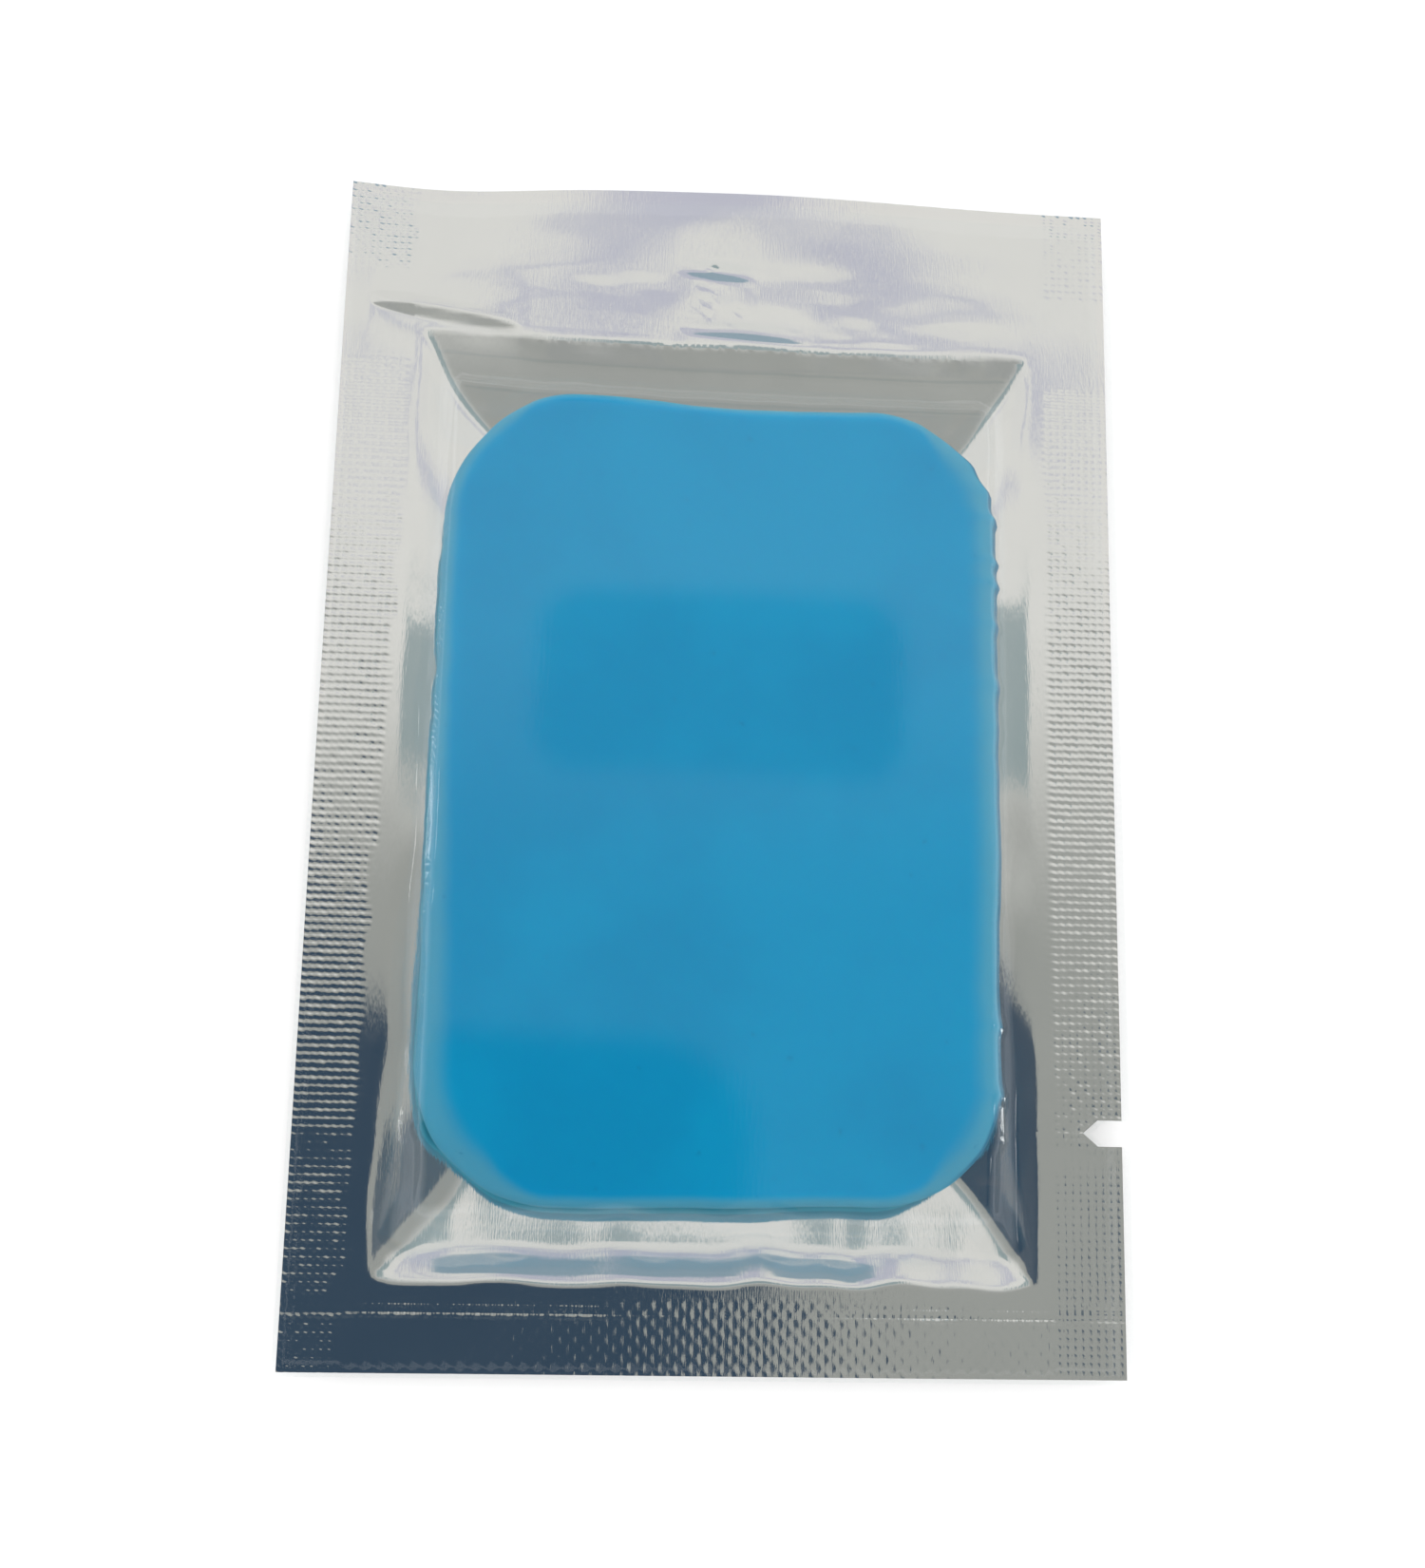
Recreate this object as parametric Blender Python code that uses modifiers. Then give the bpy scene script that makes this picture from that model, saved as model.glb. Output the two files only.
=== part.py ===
"""A blue clay bar for car paintwork, sealed in a sachet with a clear front film and a foil back.

Metres, +Z up. The sachet lies on its foil back with its length along Y: the unsealed lip is at +Y,
and the tear notch is near the -Y end, on the +X edge. The origin is under the middle of the sachet,
on the plane that it lies on.

Both films are drawn tight over the bar: each is flat over one face of the bar, rolls round the bar's
edge, and runs straight down (or up) to the seal. They part along one line level with the notch's tip,
where the sachet is torn open, so the torn-off end is a body of its own and the bar can slide out.
"""

import math

import bmesh
import bpy
from mathutils import Vector

MM = 0.001

# The sachet
SACHET_WIDTH = 80 * MM
SACHET_LENGTH = 120 * MM
FILM_THICKNESS = 0.1 * MM
SIDE_SEAL = 7.0 * MM
BOTTOM_SEAL = 7.5 * MM
CLOSING_BAND = 7.0 * MM
LIP = 10.0 * MM
SEAL_HEIGHT = 2.6 * MM      # the seals' middle plane, above the ground

# The clay bar
CLAY_WIDTH = 56 * MM
CLAY_LENGTH = 80 * MM
CLAY_THICKNESS = 7.5 * MM
CLAY_CORNER = 12 * MM
CLAY_EDGE_ROLL = 3.2 * MM
CLAY_CENTRE = Vector((-0.5 * MM, -5.0 * MM))

# The pocket that the films make round the bar. Its corners are tighter than the bar's, so its sides
# run straight past the tear line and the bar slides out between them.
POCKET_CORNER = 7.5 * MM

# The tear notch, a slot with a V at its inner end, and the line that the films tear along
NOTCH_HEIGHT = 2.5 * MM
NOTCH_DEPTH = 3.85 * MM
NOTCH_V_DEPTH = 1.45 * MM
TEAR_Y = -37.0 * MM

# Room that separate pieces keep between them
GAP = 0.3 * MM

# Steps along each curve of the films and the bar, an even number round a corner
CORNER_STEPS = 12
ROLL_STEPS = 4
CUTTER_OVERHANG = 1 * MM
WELD = 0.01 * MM
SHARP_ANGLE = math.radians(35)

BACK_FACE_Z = FILM_THICKNESS
CLAY_BOTTOM_Z = BACK_FACE_Z + GAP
CLAY_TOP_Z = CLAY_BOTTOM_Z + CLAY_THICKNESS
FRONT_FACE_Z = CLAY_TOP_Z + GAP
CAVITY_MIN = Vector((-SACHET_WIDTH / 2 + SIDE_SEAL, -SACHET_LENGTH / 2 + BOTTOM_SEAL))
CAVITY_MAX = Vector((SACHET_WIDTH / 2 - SIDE_SEAL, SACHET_LENGTH / 2 - LIP - CLOSING_BAND))


def clear_scene():
    for thing in list(bpy.data.objects):
        bpy.data.objects.remove(thing)


def new_collection(name):
    made = bpy.data.collections.new(name)
    bpy.context.scene.collection.children.link(made)
    return made


def principled(name, colour, roughness, metallic=0.0, alpha=1.0):
    made = bpy.data.materials.new(name)
    made.use_nodes = True
    shader = made.node_tree.nodes["Principled BSDF"]
    shader.inputs["Base Color"].default_value = (*colour, 1.0)
    shader.inputs["Roughness"].default_value = roughness
    shader.inputs["Metallic"].default_value = metallic
    shader.inputs["Alpha"].default_value = alpha
    return made


def new_empty(name, collection, place, parent=None):
    made = bpy.data.objects.new(name, None)
    made.empty_display_size = 10 * MM
    made.parent = parent
    made.location = place
    collection.objects.link(made)
    return made


def object_from(name, bm, collection, material=None, parent=None):
    """The bmesh, whose points are in world space, as an object whose own origin is its parent's."""
    if parent:
        bmesh.ops.translate(bm, verts=bm.verts, vec=-parent.matrix_world.translation)
    mesh = bpy.data.meshes.new(name)
    bm.to_mesh(mesh)
    bm.free()
    if material:
        mesh.materials.append(material)
    made = bpy.data.objects.new(name, mesh)
    made.parent = parent
    collection.objects.link(made)
    return made


def corner_angles(corner_centre, corner_point, quadrant):
    """Directions round one corner of the pocket. The middle one points at the corner of the seals."""
    start = quadrant * math.pi / 2
    towards = corner_point - corner_centre
    middle = math.atan2(towards.y, towards.x) % math.tau
    half = CORNER_STEPS // 2
    first = [start + (middle - start) * step / half for step in range(half)]
    second = [middle + (start + math.pi / 2 - middle) * step / half for step in range(half + 1)]
    return first + second


def stations():
    """(point on the outline of the pocket's flat face, outward direction) all the way round the bar."""
    face_radius = POCKET_CORNER - CLAY_EDGE_ROLL
    reach = Vector((CLAY_WIDTH / 2 - POCKET_CORNER, CLAY_LENGTH / 2 - POCKET_CORNER))
    found = []
    for quadrant, (side_x, side_y) in enumerate([(1, 1), (-1, 1), (-1, -1), (1, -1)]):
        centre = CLAY_CENTRE + Vector((side_x * reach.x, side_y * reach.y))
        corner = Vector((
            CAVITY_MAX.x if side_x > 0 else CAVITY_MIN.x,
            CAVITY_MAX.y if side_y > 0 else CAVITY_MIN.y,
        ))
        for angle in corner_angles(centre, corner, quadrant):
            outward = Vector((math.cos(angle), math.sin(angle)))
            found.append((centre + outward * face_radius, outward))
    return found


def run_to_seal(point, outward):
    """How far it is from the point, along the direction, to the inner edge of the seals."""
    runs = []
    for low, high, at, step in zip(CAVITY_MIN, CAVITY_MAX, point, outward):
        if abs(step) > 1e-6:
            runs.append(((high if step > 0 else low) - at) / step)
    return min(runs)


def sachet_edge(seal_point):
    """The point on the sachet's outer edge that belongs to a point on the seals' inner edge."""
    shares = [
        (at - low) / (high - low) - 0.5
        for low, high, at in zip(CAVITY_MIN, CAVITY_MAX, seal_point)
    ]
    return Vector((shares[0] * SACHET_WIDTH, shares[1] * SACHET_LENGTH))


def film_section(run, fall):
    """(distance out, drop) from the flat face: a roll round the bar's edge, then straight to the seal."""
    radius = CLAY_EDGE_ROLL + GAP
    to_seal = Vector((run, radius - fall))
    leaves_at = to_seal.angle_signed(Vector((1, 0))) + math.acos(radius / to_seal.length)
    points = []
    for step in range(ROLL_STEPS + 1):
        angle = math.pi / 2 + (leaves_at - math.pi / 2) * step / ROLL_STEPS
        points.append((radius * math.cos(angle), radius * (1 - math.sin(angle))))
    points.append((run, fall))
    return points


def film_surface(face_z, seal_z):
    """The side of one film that faces the bar, from the middle of its flat face out to its edge."""
    bm = bmesh.new()
    side = 1 if face_z > seal_z else -1
    rings = []
    for point, outward in stations():
        section = film_section(run_to_seal(point, outward), abs(face_z - seal_z))
        places = [(point + outward * out, face_z - side * drop) for out, drop in section]
        places.append((sachet_edge(places[-1][0]), seal_z))
        rings.append([bm.verts.new((at.x, at.y, z)) for at, z in places])
    for here, there in zip(rings, rings[1:] + rings[:1]):
        for inner in range(len(here) - 1):
            bm.faces.new((here[inner], here[inner + 1], there[inner + 1], there[inner]))
    bm.faces.new([ring[0] for ring in rings])
    bm.normal_update()
    bmesh.ops.reverse_faces(bm, faces=[face for face in bm.faces if face.normal.z * side < 0])
    return bm


def notch_cutter(collection):
    """A prism on the notch's outline, through both films."""
    edge_x = SACHET_WIDTH / 2
    tip_x = edge_x - NOTCH_DEPTH
    shoulder_x = tip_x + NOTCH_V_DEPTH
    half = NOTCH_HEIGHT / 2
    outline = [
        (edge_x + CUTTER_OVERHANG, half),
        (shoulder_x, half),
        (tip_x, 0),
        (shoulder_x, -half),
        (edge_x + CUTTER_OVERHANG, -half),
    ]
    curve = bpy.data.curves.new("notch_outline", "CURVE")
    curve.dimensions = "2D"
    curve.fill_mode = "BOTH"
    curve.extrude = SEAL_HEIGHT
    spline = curve.splines.new("POLY")
    spline.points.add(len(outline) - 1)
    for point, (x, y) in zip(spline.points, outline):
        point.co = (x, y, 0, 1)
    spline.use_cyclic_u = True
    drawn = bpy.data.objects.new("notch_outline", curve)
    collection.objects.link(drawn)
    drawn.location = (0, TEAR_Y, SEAL_HEIGHT)
    bpy.context.view_layer.update()
    solid = drawn.evaluated_get(bpy.context.evaluated_depsgraph_get())
    mesh = bpy.data.meshes.new_from_object(solid)
    bm = bmesh.new()
    bm.from_mesh(mesh)
    bmesh.ops.remove_doubles(bm, verts=bm.verts, dist=WELD)
    bmesh.ops.recalc_face_normals(bm, faces=bm.faces)
    bmesh.ops.transform(bm, matrix=drawn.matrix_world, verts=bm.verts)
    cutter = object_from("notch_cutter", bm, collection)
    cutter.hide_render = True
    cutter.display_type = "WIRE"
    bpy.data.objects.remove(drawn)
    return cutter


def film(name, face_z, seal_z, keeps, collection, material, parent, notch):
    """One film on one side of the tear line. keeps is +1 for the +Y side and -1 for the -Y side."""
    bm = film_surface(face_z, seal_z)
    bmesh.ops.bisect_plane(
        bm,
        geom=bm.verts[:] + bm.edges[:] + bm.faces[:],
        plane_co=(0, TEAR_Y + keeps * GAP / 2, 0),
        plane_no=(0, keeps, 0),
        clear_inner=True,
    )
    made = object_from(name, bm, collection, material, parent)
    skin = made.modifiers.new("thickness", "SOLIDIFY")
    skin.thickness = FILM_THICKNESS
    skin.offset = 1.0
    skin.use_even_offset = True
    cut = made.modifiers.new("notch", "BOOLEAN")
    cut.operation = "DIFFERENCE"
    cut.solver = "EXACT"
    cut.object = notch
    return made


def clay_bar(collection, material, parent):
    """A slab with round corners, its rims rolled over where it was pressed."""
    bm = bmesh.new()
    bmesh.ops.create_cube(bm, size=1.0)
    bmesh.ops.scale(bm, verts=bm.verts, vec=(CLAY_WIDTH, CLAY_LENGTH, CLAY_THICKNESS))
    upright = [e for e in bm.edges if abs(e.verts[0].co.z - e.verts[1].co.z) > CLAY_THICKNESS / 2]
    bmesh.ops.bevel(
        bm, geom=upright, offset=CLAY_CORNER, segments=CORNER_STEPS, profile=0.5, affect="EDGES"
    )
    rims = [e for e in bm.edges if e.verts[0].co.z * e.verts[1].co.z > 0]
    bmesh.ops.bevel(
        bm, geom=rims, offset=CLAY_EDGE_ROLL, segments=ROLL_STEPS, profile=0.5, affect="EDGES"
    )
    middle = Vector((*CLAY_CENTRE, CLAY_BOTTOM_Z + CLAY_THICKNESS / 2))
    bmesh.ops.translate(bm, verts=bm.verts, vec=middle)
    made = object_from("clay_bar", bm, collection, material, parent)
    made.data.shade_smooth()
    made.data.set_sharp_from_angle(angle=SHARP_ANGLE)
    return made


def main():
    clear_scene()
    parts = new_collection("clay_bar_in_sachet")
    cutters = new_collection("cutters")
    sachet = new_empty("sachet", parts, (0, 0, 0))
    clay_slide = new_empty("clay_slide", parts, (0, CLAY_CENTRE.y, SEAL_HEIGHT), sachet)
    tear_end = new_empty("tear_end", parts, (0, TEAR_Y - CLAY_CENTRE.y, 0), clay_slide)
    bpy.context.view_layer.update()

    clay = principled("blue_clay", (0.023, 0.270, 0.445), roughness=0.35)
    clay_bar(parts, clay, clay_slide)

    notch = notch_cutter(cutters)
    front = principled("clear_laminate", (0.86, 0.90, 0.92), roughness=0.06, alpha=0.25)
    foil = principled("silver_foil_laminate", (0.72, 0.72, 0.71), roughness=0.18, metallic=1.0)
    front_planes = (FRONT_FACE_Z, SEAL_HEIGHT + GAP / 2)
    back_planes = (BACK_FACE_Z, SEAL_HEIGHT - GAP / 2)
    film("front_film", *front_planes, 1, parts, front, sachet, notch)
    film("back_foil", *back_planes, 1, parts, foil, sachet, notch)
    film("tear_end_front_film", *front_planes, -1, parts, front.copy(), tear_end, notch)
    film("tear_end_back_foil", *back_planes, -1, parts, foil.copy(), tear_end, notch)


main()
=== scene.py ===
"""Looks of a blue clay bar in its sachet: clear front film, foil back, knurled heat seals, tear notch.

Shapes are worked out in millimetres, in the frame's own axes, and scaled to metres as meshes are made.
Every film is a thin closed shell over one triangulated plan of the sachet, split along the tear line.
"""

import math

import bpy
import numpy as np
from mathutils import Matrix, Vector
from mathutils.geometry import delaunay_2d_cdt


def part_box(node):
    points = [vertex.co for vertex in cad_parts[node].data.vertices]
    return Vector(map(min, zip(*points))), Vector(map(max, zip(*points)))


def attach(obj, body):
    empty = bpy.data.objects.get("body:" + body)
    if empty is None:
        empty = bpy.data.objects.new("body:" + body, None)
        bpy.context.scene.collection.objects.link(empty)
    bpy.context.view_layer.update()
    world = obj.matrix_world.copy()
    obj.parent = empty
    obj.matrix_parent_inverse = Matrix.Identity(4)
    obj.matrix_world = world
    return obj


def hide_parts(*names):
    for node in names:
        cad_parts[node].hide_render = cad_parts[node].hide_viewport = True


MM = 0.001

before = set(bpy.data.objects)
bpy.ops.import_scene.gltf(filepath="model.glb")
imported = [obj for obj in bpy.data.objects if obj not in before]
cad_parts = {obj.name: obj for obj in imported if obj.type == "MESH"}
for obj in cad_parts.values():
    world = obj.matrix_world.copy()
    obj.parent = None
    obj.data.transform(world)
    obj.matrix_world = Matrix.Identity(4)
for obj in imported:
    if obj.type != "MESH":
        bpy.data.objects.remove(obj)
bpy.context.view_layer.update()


def box_mm(node):
    low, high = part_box(node)
    return low / MM, high / MM


# ---------------------------------------------------------------- sizes, from the frame, in millimetres

FRONT_LOW, FRONT_HIGH = box_mm("front_film")
FOIL_LOW, FOIL_HIGH = box_mm("back_foil")
TEAR_LOW, TEAR_HIGH = box_mm("tear_end_front_film")
CLAY_LOW, CLAY_HIGH = box_mm("clay_bar")

HALF_WIDTH = FRONT_HIGH.x
HALF_LENGTH = FRONT_HIGH.y
FILM = 0.1  # how thick each film is
TEAR_Y = (FRONT_LOW.y + TEAR_HIGH.y) / 2
SEAL_Z = (FRONT_LOW.z + FOIL_HIGH.z) / 2
FACE_Z = FRONT_HIGH.z - FILM  # the clear film's lower face over the bar
SIDE_SEAL_X = HALF_WIDTH - 7.0
BOTTOM_SEAL_Y = -HALF_LENGTH + 7.3
BAND_LOW_Y, BAND_HIGH_Y = HALF_LENGTH - 20.0, HALF_LENGTH - 10.0

# Where the films part from each other round the bar: the sides of the tent
TENT_LEFT, TENT_RIGHT = -32.5, 31.6
TENT_BOTTOM, TENT_TOP = -51.9, 43.0
WELD_GAP = 0.02
TENT_RISE = FACE_Z - SEAL_Z - 0.06
LEFT_WALL, RIGHT_WALL, BOTTOM_WALL, TOP_WALL = 0.97, 0.92, 0.70, 0.62  # how steeply each side rises

# How steeply the foil falls away from the seals: a base, then changes as (where from, where to, how much)
LEFT_FALL = 0.09, ((16, 40, 0.17), (-8, -26, 0.11), (-32, -42, 0.10))
RIGHT_FALL = 0.08, ((16, 40, 0.22), (-16, -40, 0.20), (-38, -48, 0.12))
LEFT_SOFT = 1.4, ((16, 34, -1.1), (-34, -44, -0.9))
BOTTOM_FALL = 0.40, ((13, 19, -0.10), (-24, -29, -0.10))
BOTTOM_FALL_NEAR_BAR = 0.19
TOP_FALL = 0.165

# The tear notch, a slot with a V at its inner end
NOTCH_HALF = 1.25
NOTCH_TIP_X = HALF_WIDTH - 3.85
NOTCH_SHOULDER_X = NOTCH_TIP_X + 1.45

# The knurl that the sealing jaws press: square on the sides, staggered along the bottom
SIDE_PITCH = 0.75
SIDE_DEPTH = 0.078
LOW_RIGHT_Y = -38.0  # below this, the right seal's dents are shallower and don't run together
KNURL_FAINT = 1.0, ((14, 28, -0.40), (BAND_LOW_Y, BAND_HIGH_Y, -0.12))
BOTTOM_PITCH_X, BOTTOM_PITCH_Y = 1.45, 1.60
BOTTOM_DEPTH = 0.034
LOZENGE_HALF_X, LOZENGE_HALF_Y = 0.30, 0.62
PRESSED_LINES = ((BOTTOM_SEAL_Y - 0.95, 0.035), (BOTTOM_SEAL_Y - 1.75, 0.055))  # (y, height)
PRESSED_LINE_HALF = 0.2

# The bar
CLAY_CENTRE = (CLAY_LOW + CLAY_HIGH) / 2
CLAY_HALF = (CLAY_HIGH - CLAY_LOW) / 2
CLAY_CORNER = 13.2
CLAY_ROLL = 3.2
CLAY_RINGS_INSET = 5.0  # how far in from the edge its face's rings are close together
CLAY_COUNT = 420  # points round the bar
CLAY_FACE_Z = FACE_Z - 0.14
# Bumps down the bar's right edge: (y, size, width)
RIGHT_BUMPS = (
    (29.8, 0.35, 1.0), (26.6, 0.45, 1.0), (23.7, 0.40, 0.45), (19.2, 0.30, 0.40), (16.9, 0.35, 0.55),
    (12.6, 0.25, 0.60), (6.5, 0.20, 0.80), (-27.0, 0.20, 0.60), (-33.5, 0.30, 0.70),
)
# Slow waves of edges that aren't quite straight: (x, width, height)
BAR_TOP_WAVES = ((-15, 8, 0.55), (4, 7, -0.35))
BAR_BOTTOM_WAVES = ((-14, 9, 0.25), (12, 9, -0.35))
BAR_BOTTOM_SHORT = 0.55
LIP_CURL = ((-31, 14, -0.35), (6, 18, 0.25), (33, 9, -0.1))
LIP_EDGE_WAVES = ((-30, 11, -0.85), (7, 14, 0.35))

# How far apart the films' mesh points are, across and along
BAND_STEPS = 0.65, 0.45
LINE_STEPS = 0.3, 0.1
TENT_STEPS = 0.5, 0.5
FACE_STEPS = 1.6, 1.6
TEAR_STEP = 0.3
FACE_STARTS = 5.0  # how far in from the bar's edge the wide steps are enough

# Pressed-in pleats of the closing band: (start, end, half width, height)
PLEATS = (
    ((-37.3, 46.0), (-21.6, 43.9), 0.85, 0.33),
    ((-5.6, 50.9), (2.6, 50.5), 0.40, -0.16),
    ((-5.5, 44.4), (8.5, 43.8), 0.40, -0.15),
)
# Pinprick dents in the closing band
SPECK_COUNT = 14
SPECKS_AT = (-1.5, 47.6)
SPECKS_SPREAD = (2.0, 1.5)


# ---------------------------------------------------------------- small maths

def smooth(low, high, x):
    """0 below low, 1 above high, and a smooth step between."""
    t = np.clip((x - low) / (high - low), 0, 1)
    return t * t * (3 - 2 * t)


def soft_min(a, b, radius):
    """The smaller of two values, blended where they are within radius of each other."""
    t = np.clip(0.5 + 0.5 * (b - a) / radius, 0, 1)
    return b * (1 - t) + a * t - radius * t * (1 - t)


def meet(a, b, radius):
    """The soft minimum of two heights that are never negative. It stays 0 where either is 0."""
    return soft_min(a, b, np.minimum(radius, np.maximum(np.maximum(a, b), 1e-6)))


def bell(x, centre, width):
    """1 at the centre, dying out smoothly on both sides of it."""
    return np.exp(-(((x - centre) / width) ** 2))


def bells(x, waves):
    """The sum of some bells, each given as (centre, width, height)."""
    return sum(height * bell(x, centre, width) for centre, width, height in waves)


def stepped(place, base, changes):
    """base, with each of the changes (where from, where to, how much) setting in smoothly."""
    for start, end, amount in changes:
        base = base + amount * smooth(start, end, place)
    return base


def swell(x, y, wavelength, stretch=(1.0, 1.0), count=9, seed=1):
    """Smooth irregular waves, about -1 to 1, from a few sines in random directions."""
    rng = np.random.default_rng(seed)
    total = 0
    for _ in range(count):
        angle = rng.uniform(0, math.tau)
        size = wavelength * rng.uniform(0.7, 1.6)
        phase = rng.uniform(0, math.tau)
        along = x * math.cos(angle) / stretch[0] + y * math.sin(angle) / stretch[1]
        total = total + np.sin(along * math.tau / size + phase)
    return total / math.sqrt(count)


def leaf(x, y, start, end, width):
    """(across, along) for a leaf-shaped fold from start to end: across is -1 to 1 inside it."""
    start, end = np.array(start, float), np.array(end, float)
    length = np.linalg.norm(end - start)
    direction = (end - start) / length
    along = ((x - start[0]) * direction[0] + (y - start[1]) * direction[1]) / length
    across = -(x - start[0]) * direction[1] + (y - start[1]) * direction[0]
    open_by = width * np.sqrt(np.clip(np.sin(np.clip(along, 0, 1) * math.pi), 0, 1)) + 1e-6
    return across / open_by, along


# ---------------------------------------------------------------- the bar's upper surface

def bar_inset(x, y):
    """How far inside the bar's plain outline a point is, in plan. Negative outside."""
    qx = abs(x - CLAY_CENTRE.x) - (CLAY_HALF.x - CLAY_CORNER)
    qy = abs(y - CLAY_CENTRE.y) - (CLAY_HALF.y - CLAY_CORNER)
    outside = np.hypot(np.maximum(qx, 0), np.maximum(qy, 0)) + np.minimum(np.maximum(qx, qy), 0)
    return CLAY_CORNER - outside


def ragged(x, y):
    """How far the bar's edge strays outwards from its plain outline."""
    stray = 0.10 * swell(x, y, 17, seed=41) + 0.04 * swell(x, y, 5, seed=42)
    for bump_y, size, width in RIGHT_BUMPS:
        stray = stray + smooth(22, 26, x) * size * bell(y, bump_y, width)
    stray = stray + smooth(30, 33, y) * bells(x, BAR_TOP_WAVES)
    return stray + smooth(-37, -47, y) * (bells(x, BAR_BOTTOM_WAVES) - BAR_BOTTOM_SHORT)


def roll_width(x, y):
    """How far in from the edge the bar's flat face starts: wider down the left and on the right."""
    return even_roll_width(x) + 2.0 * smooth(16, 22, -x) * smooth(10, -30, y)


def even_roll_width(x):
    """The same, before the left side widens downwards. The clear film follows this one."""
    return np.maximum(1.9, np.maximum(2.6 * smooth(16, 22, -x), 3.1 * smooth(16, 22, x)))


def rolled(inset, width):
    """The height of a face at full height with a rolled edge, some way in from the edge."""
    share = np.clip(inset / width, 0, 1)
    return CLAY_FACE_Z - CLAY_ROLL * (1 - np.sqrt(1 - (1 - share) ** 2))


def bar_top(x, y):
    """The height of the bar's upper surface."""
    inset = bar_inset(x, y) + ragged(x, y)
    width = roll_width(x, y)
    uneven = 0.05 * np.maximum(1 + swell(x, y, 19, seed=51), 0)
    return rolled(inset, width) - uneven * smooth(0.8, 1, inset / width)


def bar_under(inset):
    """The height of the bar's rolled underside, some way in from its edge."""
    share = np.clip(inset / CLAY_ROLL, 0, 1)
    return CLAY_LOW.z + CLAY_ROLL * (1 - np.sqrt(1 - (1 - share) ** 2))


# ---------------------------------------------------------------- the films' shapes

def lip_curl(x, y):
    """How the unsealed end waves, dying out towards the closing band."""
    return bells(x, LIP_CURL) * smooth(BAND_LOW_Y + 3, HALF_LENGTH + 2, y)


def pleat(x, y, start, end, width, height):
    """A pressed-in pleat: a leaf-shaped step down, which the film makes up for slowly on both sides."""
    across, along = leaf(x, y, start, end, width)
    open_by = np.sqrt(np.clip(np.sin(np.clip(along, 0, 1) * math.pi), 0, 1))
    beyond = np.maximum(abs(across) - 1, 0) * open_by * width
    return height / 2 * np.clip(across, -1, 1) * np.exp(-beyond / 3.0) * open_by


def specks(x, y):
    """A few pinprick dents in the closing band."""
    rng = np.random.default_rng(9)
    dent = 0
    for _ in range(SPECK_COUNT):
        at_x, at_y = (rng.normal(at, spread) for at, spread in zip(SPECKS_AT, SPECKS_SPREAD))
        deep, wide = rng.uniform(0.04, 0.10), rng.uniform(0.05, 0.16)
        dent = dent - deep * np.exp(-((x - at_x) ** 2 + (y - at_y) ** 2) / wide)
    return dent


def band_ripples(x, y):
    """Shallow ripples that the closing jaws left across the top."""
    off_sides = 1 - smooth(SIDE_SEAL_X - 6, SIDE_SEAL_X + 1, abs(x))
    share = smooth(TENT_TOP - 0.5, TENT_TOP + 1.5, y) * off_sides
    in_band = 1 - smooth(BAND_HIGH_Y - 1, BAND_HIGH_Y + 3, y)
    ripple = (0.012 + 0.022 * in_band) * swell(x, y, 7, stretch=(2.8, 1.0), seed=5)
    fine = 0.004 * in_band * swell(x, y, 2.4, stretch=(2.5, 1.0), seed=6)
    return share * (ripple + fine + specks(x, y))


def seal_plane(x, y):
    """The height of the welded films, without the knurl."""
    z = SEAL_Z + 0.08 * swell(x, y, 60, seed=3) + lip_curl(x, y) + band_ripples(x, y)
    for start, end, width, height in PLEATS:
        z = z + pleat(x, y, start, end, width, height)
    ridge = (0.03 + 0.02 * swell(x, 0 * y, 16, seed=62)) * (1 - smooth(26, 33, abs(x)))
    return z + ridge * bell(edge_distances(x, y)[3], -0.5, 0.4)


def pits(x, y, pitch, run_on, even, seed):
    """Rows of dents, 0 on average.

    run_on is how far the dents of a row run together, and even is how alike they are.
    """
    across, along = x / pitch, y / pitch
    column = 0.5 + 0.5 * np.cos(math.tau * across)
    row = 0.5 + 0.5 * np.cos(math.tau * along)
    rng = np.random.default_rng(seed)
    drawn = rng.uniform(0.0, 1.0, (200, 200))[
        np.rint(across).astype(int) % 200, np.rint(along).astype(int) % 200]
    cell = 1 - 0.65 * (1 - even) * drawn
    whole_row = rng.uniform(0.75, 1.0, 200)[np.rint(along).astype(int) % 200]
    mean = 0.5 * (0.875 * run_on + (0.34 + 0.16 * even) * (1 - run_on))
    return row * (run_on * whole_row + (1 - run_on) * column * cell) - mean


def lozenges(x, y):
    """Upright dents in staggered rows, 0 on average."""
    total = -0.5
    for shift in (0, 0.5):
        across, along = x / BOTTOM_PITCH_X + shift, y / BOTTOM_PITCH_Y + shift
        from_middle_x = (across - np.rint(across)) * BOTTOM_PITCH_X
        from_middle_y = (along - np.rint(along)) * BOTTOM_PITCH_Y
        total = total + bell(from_middle_x, 0, LOZENGE_HALF_X) * bell(from_middle_y, 0, LOZENGE_HALF_Y)
    return total


def side_seal(x, y):
    """1 on the knurled sides, 0 inside them. The left one's inner edge wanders and runs outwards."""
    on_left = smooth(0, -5, x)
    edge = SIDE_SEAL_X + on_left * (1.1 * smooth(20, -30, y) + 0.25 * swell(0 * x, y, 5, seed=16) - 0.2)
    return smooth(edge, edge + 0.5, abs(x))


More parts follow.
